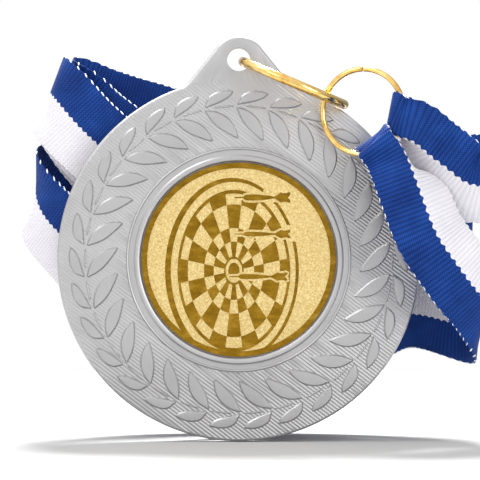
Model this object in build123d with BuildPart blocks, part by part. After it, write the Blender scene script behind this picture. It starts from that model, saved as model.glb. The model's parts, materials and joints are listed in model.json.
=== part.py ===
"""A pressed 50 mm sports medal with a glued gold centre, two jump rings and a woven neck ribbon.

The frame: +Z up, -Y towards the viewer of the front face, +X to the right. The origin is the middle
of the disc's flat back. The disc stands on its rim, the ribbon lies in a loose coil behind it and its
two ends come round the right side to the ribbon ring. All lengths are in millimetres.
"""
import math
import os

import numpy as np
from build123d import *

# --- medal disc ---------------------------------------------------------------------------------
disc_radius = 25.0
ground_depth = 2.25        # back face to the ribbed ground
relief = 0.25              # height of leaves and mouldings over the ground
edge_round = 0.3

# --- eyelet tab on top of the disc ----------------------------------------------------------------
tab_top_radius = 3.8
tab_centre_z = 26.95
tab_flank_angle = 39.0     # flank against the vertical
tab_flank_length = 9.5
tab_root_fillet = 2.5
hole_radius = 1.5
hole_z = 27.6

# --- laurel wreath --------------------------------------------------------------------------------
leaf_pairs = 30
leaf_step = 360.0 / leaf_pairs
wreath_phase = -0.9        # bearing of the first leaf node, clockwise from the top
stem_radius = 21.35
stem_width = 0.24
inner_tip_radius = 16.9
inner_tip_lead = 12.9
outer_tip_radius = 23.25
outer_tip_lead = 10.3
outer_corner_lead = 2.8
outer_waist_radius = 22.05
outer_waist_lead = 7.7

# --- mouldings and recess in the middle -----------------------------------------------------------
recess_radius = 13.55
recess_depth = 0.65        # below the ground
moulding_inner = 13.6
moulding_outer = 14.25
bead_inner = 15.2
bead_outer = 15.45

# --- gold centre ----------------------------------------------------------------------------------
emblem_radius = 13.4
emblem_thickness = 0.45
border_width = 0.78
border_height = 0.12
pad_radius = 12.5
pad_thickness = 0.15

# --- jump rings -----------------------------------------------------------------------------------
link_wire = 0.65           # wire radius
link_radius = 7.55         # to the middle of the wire
link_slope = 23.0          # how far the link ring points below the horizontal
link_tilt = 3.3            # turned about its own length, so that it is seen edge-on from the front
link_seat = 0.68           # from the hole's middle to the middle of the wire
ring_wire = 0.375
ring_radius = 5.82
ring_centre = (16.98, -5.2, 20.27)
ring_turn = 21.0           # the ribbon ring's right side is turned towards the viewer
gap_angle = 1.6            # butt joint left open in each ring

# --- ribbon ---------------------------------------------------------------------------------------
ribbon_width = 11.0
ribbon_thickness = 0.3
run_step = 2.6             # distance between sections on straight runs
bend_step = 1.2            # the same in the twisting bends
hem_step = 0.55            # and where the ribbon turns round the ring
coil_turns = 3
near_layer, far_layer = 1.6, 14.8      # first turn's depth in front and behind
layer_pitch = 1.1
run_drop, left_drop, bend_drop = 0.35, 0.9, 1.2      # lowering of each further turn
right_inset, left_inset, lean_loss = 1.15, 0.9, 0.09     # shortening and straightening of its bends
thread_radius = 0.15
stitches = 5


def polar(radius, bearing):
    """A point on the disc's face: bearing in degrees, clockwise from the top."""
    angle = math.radians(bearing)
    return (radius * math.sin(angle), radius * math.cos(angle))


def save(part, name):
    """Label a finished piece and write it to its own file."""
    part.label = name
    export_step(part, f"parts/{name}.step")


# === medal disc: one pressing with its tab, wreath, mouldings and recess ==========================
flank = math.radians(tab_flank_angle)
tangent_x = tab_top_radius * math.cos(flank)
tangent_z = tab_centre_z + tab_top_radius * math.sin(flank)
foot_x = tangent_x + tab_flank_length * math.sin(flank)
foot_z = tangent_z - tab_flank_length * math.cos(flank)

with BuildPart() as medal_disc:
    with BuildSketch(Plane.XZ) as blank:
        Circle(disc_radius)
        with BuildLine():
            Polyline((-foot_x, foot_z), (-tangent_x, tangent_z), (tangent_x, tangent_z),
                     (foot_x, foot_z), close=True)
        make_face()
        with Locations((0, tab_centre_z)):
            Circle(tab_top_radius)
        corners = blank.vertices().filter_by(
            lambda v: abs(math.hypot(v.X, v.Z) - disc_radius) < 0.01 and v.Z > disc_radius / 2)
        fillet(corners, tab_root_fillet)
    extrude(amount=ground_depth)
    outer_edges = medal_disc.edges().filter_by(Plane.XZ)
    fillet(outer_edges, edge_round)
    with BuildSketch(Plane.XZ.offset(ground_depth)) as wreath:
        Circle(stem_radius + stem_width / 2)
        Circle(stem_radius - stem_width / 2, mode=Mode.SUBTRACT)
        for pair in range(leaf_pairs):
            node = wreath_phase + pair * leaf_step
            base = polar(stem_radius, node)
            inner_tip = polar(inner_tip_radius, node + inner_tip_lead)
            with BuildLine():
                ThreePointArc(base, polar(19.55, node + 8.6), inner_tip)
                ThreePointArc(inner_tip, polar(18.2, node + 4.6), base)
            make_face()
            corner = polar(outer_tip_radius - 0.1, node + outer_corner_lead)
            tip = polar(outer_tip_radius, node + outer_tip_lead)
            with BuildLine():
                Line(base, corner)
                ThreePointArc(corner, polar(outer_tip_radius, node + 6.5), tip)
                ThreePointArc(tip, polar(outer_waist_radius, node + outer_waist_lead), base)
            make_face()
    extrude(amount=relief)
    with BuildSketch(Plane.XZ.offset(ground_depth)) as mouldings:
        for inner, outer in ((moulding_inner, moulding_outer), (bead_inner, bead_outer)):
            Circle(outer)
            Circle(inner, mode=Mode.SUBTRACT)
    extrude(amount=relief)
    with BuildSketch(Plane.XZ.offset(ground_depth)):
        Circle(recess_radius)
    extrude(amount=-recess_depth, mode=Mode.SUBTRACT)
    with BuildSketch(Plane.XZ):
        with Locations((0, hole_z)):
            Circle(hole_radius)
    extrude(amount=ground_depth, mode=Mode.SUBTRACT)
save(medal_disc.part, "medal_disc")

# === glued gold centre and its adhesive pad =======================================================
floor_depth = ground_depth - recess_depth
with BuildPart() as emblem_pad:
    with BuildSketch(Plane.XZ.offset(floor_depth)):
        Circle(pad_radius)
    extrude(amount=pad_thickness)
save(emblem_pad.part, "emblem_pad")

emblem_back = floor_depth + pad_thickness
with BuildPart() as emblem:
    with BuildSketch(Plane.XZ.offset(emblem_back)):
        Circle(emblem_radius)
    extrude(amount=emblem_thickness - border_height)
    with BuildSketch(Plane.XZ.offset(emblem_back + emblem_thickness - border_height)):
        Circle(emblem_radius)
        Circle(emblem_radius - border_width, mode=Mode.SUBTRACT)
    extrude(amount=border_height)
save(emblem.part, "emblem")

# === the two jump rings ===========================================================================
slope = math.radians(link_slope)
tilt = math.radians(link_tilt)
outward = Vector(math.cos(slope), 0, -math.sin(slope))
hole_middle = Vector(0, -ground_depth / 2, hole_z)
link_centre = hole_middle + outward * (link_seat + link_radius)
link_axis = Vector(math.sin(slope) * math.cos(tilt), -math.sin(tilt), math.cos(slope) * math.cos(tilt))
backward = link_axis.cross(outward)
# the section starts behind the disc, so that the butt joint is there
with BuildPart() as link_ring:
    with BuildSketch(Plane(origin=link_centre, x_dir=backward, z_dir=link_axis.cross(backward))):
        with Locations((link_radius, 0)):
            Circle(link_wire)
    revolve(axis=Axis(link_centre, link_axis), revolution_arc=360 - gap_angle)
save(link_ring.part, "link_ring")

turn = math.radians(ring_turn)
ring_axis = Vector(-math.sin(turn), -math.cos(turn), 0)
ring_middle = Vector(*ring_centre)
# the section starts on top, where the butt joint shows
with BuildPart() as ribbon_ring:
    with BuildSketch(Plane(origin=ring_middle, x_dir=(0, 0, 1), z_dir=ring_axis.cross(Vector(0, 0, -1)))):
        with Locations((ring_radius, 0)):
            Circle(ring_wire)
    revolve(axis=Axis(ring_middle, ring_axis), revolution_arc=360 - gap_angle)
save(ribbon_ring.part, "ribbon_ring")

# === ribbon: one strip, from the hem of the lower leg to the hem of the upper leg ==================
# A station is (middle of the ribbon, direction of its blue edge, fold of its white half in degrees).
# With a fold of 0 the ribbon is flat, and with 180 the white half lies behind the blue half.
lower_hem = [
    ((22.9, -8.3, 14.0), (-0.85, 0.09, -0.52), 176),
    ((22.2, -7.0, 15.0), (-0.70, 0.40, -0.60), 176),
    ((21.6, -5.1, 16.7), (-0.80, 0.31, -0.51), 176),
]
lower_leg = [
    ((20.3, -6.2, 18.5), (-0.54, 0.35, -0.77), 176),
    ((20.5, -9.4, 17.6), (-0.66, 0.11, -0.75), 174),
    ((21.9, -9.2, 15.6), (-0.90, 0.12, -0.42), 150),
    ((23.3, -9.9, 12.4), (-0.95, 0.08, -0.32), 72),
    ((24.9, -10.1, 8.0), (-0.94, 0.0, -0.34), 42),
    ((27.0, -9.8, 3.0), (-0.90, 0.0, -0.43), 38),
    ((29.0, -9.4, 0.1), (-0.82, 0.0, -0.57), 36),
]
lower_bend = [
    ((31.4, -8.4, -3.1), (-0.76, 0.0, -0.65), 28),
    ((33.6, -5.9, -5.8), (-0.62, 0.0, -0.78), 10),
    ((34.2, -2.6, -7.9), (-0.50, 0.05, -0.86), 0),
    ((32.4, 0.6, -8.9), (-0.36, 0.30, -0.88), 0),
    ((28.8, 2.8, -8.5), (-0.26, 0.50, -0.82), 0),
]
half_twist = [
    ((24.3, 3.7, -7.6), (-0.20, 0.50, -0.84), 0),
    ((18.5, 4.4, -9.8), (0.15, 0.50, -0.85), 0),
    ((12.5, 5.6, -15.2), (0.25, 0.70, -0.60), 0),
    ((6.5, 7.2, -20.6), (0.15, 0.95, -0.15), 0),
    ((0.0, 7.3, -22.2), (0.10, 0.97, 0.20), 0),
]
rising_run = [
    ((-7.0, 5.0, -18.0), (0.40, 0.55, 0.72), 0),
    ((-13.5, 3.4, -10.4), (0.68, 0.25, 0.68), 0),
    ((-19.0, 2.8, -2.2), (0.70, 0.05, 0.70), 0),
    ((-25.0, 3.2, 3.7), (0.40, -0.32, 0.84), 0),
    ((-27.9, 5.2, 7.4), (0.17, -0.15, 0.97), 0),
]
floor_run = [
    ((-28.3, 8.6, 10.6), (0.08, 0.0, 1.0), 0),
    ((-26.6, 12.2, 9.6), (0.26, 0.0, 0.96), 0),
    ((-20.2, 14.9, -0.8), (0.75, 0.0, 0.66), 0),
    ((-14.8, 15.6, -9.8), (0.76, 0.0, 0.65), 0),
    ((-8.0, 16.0, -17.4), (0.55, 0.0, 0.83), 0),
    ((1.0, 16.4, -19.3), (0.0, 0.0, 1.0), 0),
    ((10.0, 16.6, -16.2), (-0.5, 0.0, 0.86), 0),
    ((18.5, 16.4, -9.0), (-0.6, 0.0, 0.8), 0),
]
last_turn_near = [
    ((26.0, 10.8, -0.4), (0.1, 0.0, 1.0), 0),
    ((28.4, 8.2, -0.8), (0.0, 0.0, 1.0), 0),
    ((26.6, 6.2, 0.6), (0.05, 0.0, 1.0), 0),
    ((19.0, 5.3, 3.4), (0.15, 0.0, 0.99), 0),
    ((9.0, 5.2, 5.0), (0.35, 0.0, 0.94), 0),
    ((-1.0, 5.1, 8.2), (0.50, 0.0, 0.87), 0),
    ((-11.0, 5.0, 12.8), (0.58, 0.0, 0.81), 0),
    ((-18.6, 5.1, 17.7), (0.60, 0.0, 0.80), 0),
]
last_turn_far = [
    ((-22.2, 6.1, 21.0), (0.34, 0.0, 0.94), 0),
    ((-23.2, 8.2, 23.0), (0.08, 0.0, 1.0), 0),
    ((-20.9, 9.8, 22.3), (0.18, 0.0, 0.98), 0),
    ((-12.0, 10.4, 19.4), (0.30, 0.0, 0.95), 0),
    ((0.0, 10.6, 15.2), (0.30, 0.0, 0.95), 0),
    ((13.0, 10.2, 11.6), (0.24, 0.0, 0.97), 0),
]
upper_bend = [
    ((25.0, 8.8, 11.0), (0.03, 0.0, 1.0), 0),
    ((32.2, 5.8, 12.0), (0.0, 0.0, 1.0), 0),
    ((35.6, 1.4, 11.6), (0.12, 0.0, 0.99), 0),
    ((34.6, -3.8, 10.4), (0.34, 0.0, 0.94), 0),
]
upper_leg = [
    ((31.2, -5.9, 10.5), (0.50, 0.05, 0.86), 22),
    ((28.9, -6.5, 12.1), (0.56, 0.05, 0.83), 32),
    ((25.9, -6.8, 14.4), (0.60, 0.05, 0.80), 52),
    ((22.9, -8.6, 16.4), (0.52, 0.05, 0.85), 95),
    ((20.8, -8.2, 17.0), (0.28, -0.10, 0.95), 174),
]
upper_hem = [
    ((20.1, -7.1, 17.5), (0.20, 0.08, 0.98), 176),
    ((21.2, -6.0, 16.9), (0.30, -0.02, 0.95), 176),
    ((22.8, -5.9, 16.3), (0.38, 0.0, 0.92), 176),
    ((24.1, -6.8, 15.7), (0.50, 0.05, 0.86), 176),
]


def turn_near(index):
    """Stations of one coil turn: the bend on the right and the run close behind the disc."""
    near = near_layer + layer_pitch * index
    far = far_layer - layer_pitch * index
    middle, half = (near + far) / 2, (far - near) / 2
    right = 32.7 - right_inset * index
    drop = run_drop * index
    end_drop = drop + left_drop * index
    return [
        ((right - 3.4, middle + 0.88 * half, 0.3 * index - 1.0), (0.05, 0, 1), 0),
        ((right, middle + 0.15 * half, -0.6), (0, 0, 1), 0),
        ((right - 0.9, middle - 0.55 * half, 0.2), (0, 0, 1), 0),
        ((25.5, near + 0.9, 2.6), (0, 0, 1), 0),
        ((17.0, near + 0.3, 3.4), (0, 0, 1), 0),
        ((7.0, near, 2.6 - drop), (0.12, 0, 0.99), 0),
        ((-2.5, near, 4.0 - drop), (0.42, 0, 0.90), 0),
        ((-11.0, near, 8.7 - drop), (0.60, 0, 0.80), 0),
        ((0.4 * index - 17.5, near, 14.2 - end_drop), (0.66, 0, 0.75), 0),
        ((0.7 * index - 22.5, near + 0.45, 18.8 - end_drop), (0.62, 0, 0.78), 0),
    ]


def turn_far(index):
    """Stations of one coil turn: the bend on the left and the run at the back."""
    near = near_layer + layer_pitch * index
    far = far_layer - layer_pitch * index
    middle, half = (near + far) / 2, (far - near) / 2
    left, top = left_inset * index - 26.2, 23.3 - bend_drop * index
    lean = 0.34 - lean_loss * index
    sag = half / (far_layer - near_layer) * 2
    return [
        ((left + 0.3, middle - 0.6 * half, top - 0.5 * sag), (lean + 0.05, 0, 0.93), 0),
        ((left, middle + 0.1 * half, top), (lean, 0, 0.94), 0),
        ((left + 2.3, middle + 0.68 * half, top - 1.2 * sag), (0.26, 0, 0.96), 0),
        ((-16.5, far - 0.2, top - 5.9), (0.38, 0, 0.92), 0),
        ((-4.0, far, 11.6), (0.40, 0, 0.92), 0),
        ((9.0, far, 6.0), (0.33, 0, 0.94), 0),
        ((20.0, far - 0.2, 1.4), (0.20, 0, 0.98), 0),
    ]


sections_of_ribbon = [
    ("ribbon_hem_lower", lower_hem), ("ribbon_leg_lower", lower_leg),
    ("ribbon_bend_lower", lower_bend), ("ribbon_half_twist", half_twist),
    ("ribbon_rising_run", rising_run), ("ribbon_floor_run", floor_run),
]
for index in range(coil_turns):
    sections_of_ribbon.append((f"ribbon_turn_{index + 1}_near", turn_near(index)))
    sections_of_ribbon.append((f"ribbon_turn_{index + 1}_far", turn_far(index)))
sections_of_ribbon += [
    ("ribbon_last_turn_near", last_turn_near), ("ribbon_last_turn_far", last_turn_far),
    ("ribbon_bend_upper", upper_bend), ("ribbon_leg_upper", upper_leg),
    ("ribbon_hem_upper", upper_hem),
]
stations = [station for _, group in sections_of_ribbon for station in group]
centres = np.array([station[0] for station in stations], float)
blue_sides = np.array([station[1] for station in stations], float)
blue_sides /= np.linalg.norm(blue_sides, axis=1)[:, None]
folds = np.array([station[2] for station in stations], float)
knots = np.concatenate([[0.0], np.cumsum(np.linalg.norm(np.diff(centres, axis=0), axis=1))])


def smooth(values, at):
    """Natural cubic spline through values at the knots, read at the given places."""
    count, gaps = len(knots), np.diff(knots)
    matrix, right = np.zeros((count, count)), np.zeros((count, values.shape[1]))
    matrix[0, 0] = matrix[-1, -1] = 1.0
    for i in range(1, count - 1):
        matrix[i, i - 1:i + 2] = gaps[i - 1], 2 * (gaps[i - 1] + gaps[i]), gaps[i]
        right[i] = 6 * ((values[i + 1] - values[i]) / gaps[i] - (values[i] - values[i - 1]) / gaps[i - 1])
    bend = np.linalg.solve(matrix, right)
    i = np.clip(np.searchsorted(knots, at, side="right") - 1, 0, count - 2)
    gap = gaps[i][:, None]
    a = (knots[i + 1] - at)[:, None] / gap
    b = 1.0 - a
    return a * values[i] + b * values[i + 1] + ((a**3 - a) * bend[i] + (b**3 - b) * bend[i + 1]) * gap**2 / 6


def strip_frames(places):
    """Middle, blue direction, run direction and open width of the white half at the given places."""
    middle = smooth(centres, places)
    ahead = smooth(centres, places + 0.01) - smooth(centres, places - 0.01)
    ahead /= np.linalg.norm(ahead, axis=1)[:, None]
    blue = smooth(blue_sides, places)
    blue -= np.sum(blue * ahead, axis=1)[:, None] * ahead
    blue /= np.linalg.norm(blue, axis=1)[:, None]
    open_share = np.clip(np.cos(np.radians(np.interp(places, knots, folds))), 0.0, 1.0)
    return middle, blue, ahead, open_share


def stitch_row(name, start, direction, depth):
    """Stitches from inside the front layer of a hem through its back layer, in a row across the blue half."""
    with BuildPart() as thread:
        for index in range(stitches):
            across = half_width * (0.14 + 0.18 * index)
            place = Vector(*start) + Vector(*direction).normalized() * across
            with BuildSketch(Plane(origin=place, z_dir=(0, 1, 0))):
                Circle(thread_radius)
            extrude(amount=depth)
    save(thread.part, name)
    return thread.part


half_width = ribbon_width / 2
lower_thread = stitch_row("hem_thread_lower", (22.75, -9.48, 13.6), (-0.85, 0.015, -0.52), 1.9)
upper_thread = stitch_row("hem_thread_upper", (24.0, -8.1, 15.9), (0.50, 0.05, 0.86), 1.9)
needles = {"ribbon_hem_lower": lower_thread, "ribbon_leg_lower": lower_thread,
           "ribbon_hem_upper": upper_thread, "ribbon_leg_upper": upper_thread}
first = 0
ribbon_length = 0.0
for name, group in sections_of_ribbon:
    last = min(first + len(group), len(stations) - 1)
    step = run_step
    if "bend" in name or "twist" in name or "floor" in name:
        step = bend_step
    if "hem" in name or "leg" in name:
        step = hem_step
    count = max(2, math.ceil((knots[last] - knots[first]) / step) + 1)
    middle, blue, ahead, open_share = strip_frames(np.linspace(knots[first], knots[last], count))
    ribbon_length += float(np.sum(np.linalg.norm(np.diff(middle, axis=0), axis=1)))
    with BuildPart() as ribbon_piece:
        for m, b, t, share in zip(middle, blue, ahead, open_share):
            white_width = half_width * share
            origin = m + b * (half_width - white_width) / 2
            with BuildSketch(Plane(origin=tuple(origin), x_dir=tuple(b), z_dir=tuple(t))):
                Rectangle(half_width + white_width, ribbon_thickness)
        loft(ruled=True)
        if name in needles:
            add(needles[name], mode=Mode.SUBTRACT)
    save(ribbon_piece.part, name)
    first = last
print("ribbon length", round(ribbon_length, 1))
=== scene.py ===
"""Looks for the sports medal: relief front, gold centre, gilt rings and the woven neck ribbon.

Everything is worked out in millimetres in the model's own frame (+Z up, -Y towards the viewer,
origin in the middle of the disc's back) and goes to Blender in metres. A height is a distance from
the back face towards the viewer, so a point at height h lies at y = -h.
"""
import json
import math

import bpy
import numpy as np
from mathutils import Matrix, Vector
from mathutils.geometry import delaunay_2d_cdt


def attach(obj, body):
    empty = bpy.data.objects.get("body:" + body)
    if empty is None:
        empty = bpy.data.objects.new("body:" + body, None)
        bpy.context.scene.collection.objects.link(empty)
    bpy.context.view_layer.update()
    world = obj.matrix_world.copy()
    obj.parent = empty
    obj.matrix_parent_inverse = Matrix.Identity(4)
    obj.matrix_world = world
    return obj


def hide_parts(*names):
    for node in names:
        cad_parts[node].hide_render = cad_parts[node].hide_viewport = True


MM = 0.001

# --- medal disc ---
DISC_RADIUS = 25.0
GROUND = 2.25  # height of the ribbed ground
RELIEF_TOP = 2.5  # height of the leaves and mouldings
EDGE_ROUND = 0.3
TAB_RADIUS = 3.8
TAB_CENTRE = 26.95
FLANK_ANGLE = math.radians(39.0)
ROOT_FILLET = 2.5
HOLE_RADIUS = 1.5
HOLE_LIP = 0.12  # the drawn hole is wider by this much
HOLE_CENTRE = 27.6
RIB_PITCH = 0.43
RIB_HEIGHT = 0.05
RIB_SLOPE = math.radians(37.0)  # the ribs fall to the right by this much
RIB_INNER = 15.5
SHORTEST_RIB = 0.02
SLACK = 0.01  # for comparing places
RIM_POINTS, UNDER_POINTS = 400, 34  # points along the rim, and across the foot of the tab
CROWN_POINTS, FILLET_POINTS = 14, 7
HOLE_POINTS, CIRCLE_POINTS = 48, 240
# sides from the front to the back: (offset outwards, height)
EDGE_PROFILE = [(0.11, 2.21), (0.21, 2.13), (0.28, 2.03), (EDGE_ROUND, 1.92), (EDGE_ROUND, 0.3),
                (0.21, 0.09), (0.0, 0.0)]
HOLE_PROFILE = [(-0.05, GROUND - 0.03), (0.0, GROUND - HOLE_LIP), (0.0, HOLE_LIP), (0.0, 0.0)]

# --- wreath ---
LEAF_PAIRS = 30
LEAF_STEP = 360.0 / LEAF_PAIRS
WREATH_PHASE = -0.9
# (bevel, height of the top's edge, crown above that, points along each side)
LEAF_FORM = (0.22, RELIEF_TOP - 0.03, 0.03, 15)
STEM_FORM = (0.06, RELIEF_TOP - 0.1, 0.02, 9)
NARROWEST_TOP = 0.15  # as a share of the leaf's width
# a leaf is its two sides from stem to tip: (degrees clockwise from its node, radius)
INNER_LEAF = (
    [(0.0, 21.05), (0.7, 20.2), (2.3, 19.1), (4.6, 18.2), (7.6, 17.45), (10.4, 16.9),
     (13.0, 16.55)],
    [(0.0, 21.05), (2.2, 20.9), (4.6, 20.6), (7.0, 20.1), (9.4, 19.35), (11.5, 18.2),
     (13.0, 16.55)],
)
OUTER_LEAF = (
    [(0.4, 21.3), (1.1, 22.0), (2.3, 22.75), (4.4, 23.2), (6.8, 23.4), (9.2, 23.4), (11.3, 23.25)],
    [(0.4, 21.3), (2.1, 21.42), (4.0, 21.55), (6.0, 21.75), (8.0, 22.05), (9.9, 22.5),
     (11.3, 23.25)],
)
STEM = (
    [(3.0, 21.14), (5.2, 21.06), (7.4, 21.03), (9.6, 21.06), (11.7, 21.12)],
    [(3.0, 21.2), (5.2, 21.26), (7.4, 21.27), (9.6, 21.26), (11.7, 21.2)],
)

# --- mouldings round the middle: (radius, height) ---
MOULDINGS = [
    (RIB_INNER, GROUND - 0.03), (15.42, 2.42), (15.33, 2.46), (15.22, 2.42), (15.12, 2.3),
    (14.8, 2.27), (14.46, 2.31), (14.34, 2.42), (14.24, 2.5), (14.1, 2.5), (13.9, 2.47),
    (13.7, 2.38), (13.58, 2.22), (13.54, 1.6),
]

# --- gold centre ---
EMBLEM_RADIUS = 13.4
EMBLEM_BACK = 1.75
EMBLEM_CHAMFER = 0.05
FIELD_HEIGHT = 2.08
POLISH_HEIGHT = 2.13
BORDER_HEIGHT = 2.2
BORDER_WIDTH = 0.78
BOARD_CENTRE = (-0.66, -1.53)
BOARD_WIDTH = 7.76  # half width of the tall elliptical board
BOARD_HEIGHT = 11.15  # half height
SECTORS = 20
# rings of the board as shares of its size
BOARD_RINGS = {"bull": 0.1, "bull_line": 0.148, "inner": 0.175, "triple_in": 0.36,
               "triple_out": 0.53, "double_in": 0.82, "double_out": 0.955, "edge": 1.0}
# darts: (x and z of the tip, length, barrel thickness, flight height)
DARTS = [(-0.58, 8.57, 7.74, 0.86, 1.48), (-0.6, 3.53, 7.76, 0.64, 1.17),
         (-1.32, -2.33, 8.06, 0.7, 1.17)]
DART_HALO = 0.3
# the board's outer line stops for the darts' flights between these heights, from left to right
LINE_GAPS = [(7.9, 9.5), (2.5, 4.8)]
GAP_START, GAP_END = 4.0, 9.5
# ellipses: (x and z of the centre, half width, half height)
CRESCENT_INNER = (-0.75, -1.5, 8.61, 12.23)
CRESCENT_OUTER = (-0.93, -1.5, 9.21, 12.77)
CENTRE_POINTS, BOARD_POINTS, CRESCENT_POINTS = 180, 120, 140

# --- jump rings ---
LINK_WIRE = 0.65
LINK_RADIUS = 7.55
LINK_SLOPE = math.radians(23.0)
LINK_TILT = math.radians(3.3)  # turned about its own length, so that it is seen edge-on
LINK_SEAT = 0.68
RING_WIRE = 0.375
RING_RADIUS = 5.82
RING_CENTRE = (16.98, -5.2, 20.27)
RING_TURN = math.radians(21.0)
RING_GAP = math.radians(1.6)
JOINT_ANGLE = math.pi / 2
JOINT_CHAMFER = 0.12  # as a share of the wire
WIRE_ROWS, WIRE_SPOKES = 220, 36

# --- ribbon ---
RIBBON_WIDTH = 11.0
RIBBON_THICKNESS = 0.26
LEG_RIB = 0.6  # cross ribs where the ribbon is creased at the legs
COIL_RIB = 0.45  # and where it lies smooth
LEG_ROWS, COIL_ROWS = 4, 2  # rows of points for each rib
LEG_SWELL, COIL_SWELL = 0.06, 0.025
LEG_SCALLOP, COIL_SCALLOP = 0.09, 0.05  # how far the edges swing out on every second rib
LINE_SCALLOP = 0.15  # and the line between blue and white
WARP_PITCH, WEFT_PITCH = 0.34, 0.35
COLUMNS = (-5.5, -5.25, -3.6, -1.6, -0.4, -0.13, 0.13, 0.4, 1.6, 3.6, 5.25, 5.5)
FOLD_WIDTH = 0.8  # the part of the width that bends in a lengthwise fold
STITCH_PITCH = 1.08
STITCH_LENGTH = 0.8
STITCH_WIDTHS = (0.14, 0.24)  # on the legs and on the coil
STITCH_SLANT = 0.15
STITCH_INSET = 0.03  # from the blue edge
STITCH_RINGS, STITCH_SPOKES = 5, 6
LEG_STATIONS = (12, -10)  # where the lower leg ends and the upper leg starts
COIL_TURNS = 3
NEAR_LAYER, FAR_LAYER, LAYER_PITCH = 1.6, 14.8, 1.1
# what each turn of the coil changes: near run, its left part and left bend lower, bends further in
RUN_DROP, LEFT_DROP, BEND_DROP = 0.35, 0.9, 1.2
RIGHT_INSET, LEFT_INSET, LEAN_LOSS = 1.15, 0.9, 0.09

# --- picture ---
CAMERA_DISTANCE = 400.0
FRAME_WIDTH = 66.1  # what the picture shows at the disc, in mm
FRAME_CENTRE = (0.18, 2.71)  # x and z
FLOOR_HEIGHT = -25.0
FLOOR_RADIUS = 0.22  # in m
FLOOR_GAP = 0.0001  # below the disc, in m
TENT_LIGHT = (-0.5, -0.45, 0.74)  # where the white tent is brightest
TENT_LEVELS = (0.05, 1.3)  # its brightness on the opposite side and there
# lights, aimed at the origin: (name, place, diameter, power in W), in m
LIGHTS = [
    ("key", (-0.17, -0.22, 0.16), 0.12, 0.14),
    ("fill", (0.32, -0.34, 0.12), 0.25, 0.9),
    ("graze", (-0.25, -0.08, 0.43), 0.15, 0.8),
    ("back", (0.0, 0.33, 0.53), 0.2, 11.0),
]


# === mesh helpers ===
def add_object(name, data):
    """A new object in the scene."""
    thing = bpy.data.objects.new(name, data)
    bpy.context.scene.collection.objects.link(thing)
    return thing


def mesh_piece(name, points, faces, materials, face_slots=None, sharp=35.0, attributes=None):
    """A mesh object from points in mm. Faces that turn by more than sharp keep a hard edge."""
    mesh = bpy.data.meshes.new(name)
    mesh.from_pydata((np.asarray(points, float) * MM).tolist(), [], [tuple(f) for f in faces])
    for material in materials:
        mesh.materials.append(material)
    if face_slots is not None:
        mesh.polygons.foreach_set("material_index", np.asarray(face_slots, np.int32))
    for label, values in (attributes or {}).items():
        layer = mesh.attributes.new(label, "FLOAT", "POINT")
        layer.data.foreach_set("value", np.asarray(values, np.float32))
    mesh.polygons.foreach_set("use_smooth", np.ones(len(mesh.polygons), bool))
    mesh.set_sharp_from_angle(angle=math.radians(sharp))
    mesh.update()
    mesh.validate()
    return add_object(name, mesh)


def polar(bearing, radius):
    """A point on the face: bearing in degrees, clockwise from the top."""
    angle = math.radians(bearing)
    return radius * math.sin(angle), radius * math.cos(angle)


def circle(centre, radius, count):
    """Points of a circle, clockwise from the top."""
    return [(centre[0] + x, centre[1] + z) for x, z in
            (polar(360.0 * i / count, radius) for i in range(count))]


class Drawing:
    """Lines on the face with heights, from which a triangulated relief is made."""

    def __init__(self):
        self.points, self.heights, self.edges = [], [], []

    def line(self, points, heights, closed=True):
        """Adds a line with one height, or with a height for each of its points."""
        first = len(self.points)
        self.points += [Vector(p) for p in points]
        self.heights += list(np.broadcast_to(heights, len(points)))
        count = len(points)
        self.edges += [(first + i, first + i + 1) for i in range(count - 1)]
        if closed:
            self.edges.append((first + count - 1, first))

    def triangles(self, fill_height):
        """Points, heights and triangles. fill_height gives the height where two lines cross."""
        points, _, faces, origins, _, _ = delaunay_2d_cdt(self.points, self.edges, [], 1, 1e-5)
        flat = np.array([tuple(p) for p in points])
        heights = [self.heights[o[0]] if o else fill_height(*p) for o, p in zip(origins, flat)]
        return flat, np.array(heights), np.array([tuple(f) for f in faces])


def boundary_loops(faces):
    """Closed loops of the edges that belong to one face only, each as a list of points' numbers."""
    onward = {}
    edges = {(a, b) for face in faces for a, b in zip(face, np.roll(face, -1))}
    for a, b in edges:
        if (b, a) not in edges:
            onward[int(a)] = int(b)
    loops = []
    while onward:
        start, here = onward.popitem()
        loop = [start]
        while here != start:
            loop.append(here)
            here = onward.pop(here)
        loops.append(loop)
    return loops


def right_of(loop):
    """Unit vectors to the right of a loop's direction: outwards if it runs anticlockwise."""
    along = np.roll(loop, -1, axis=0) - np.roll(loop, 1, axis=0)
    normal = np.stack([along[:, 1], -along[:, 0]], axis=1)
    return normal / np.linalg.norm(normal, axis=1)[:, None]


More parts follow.
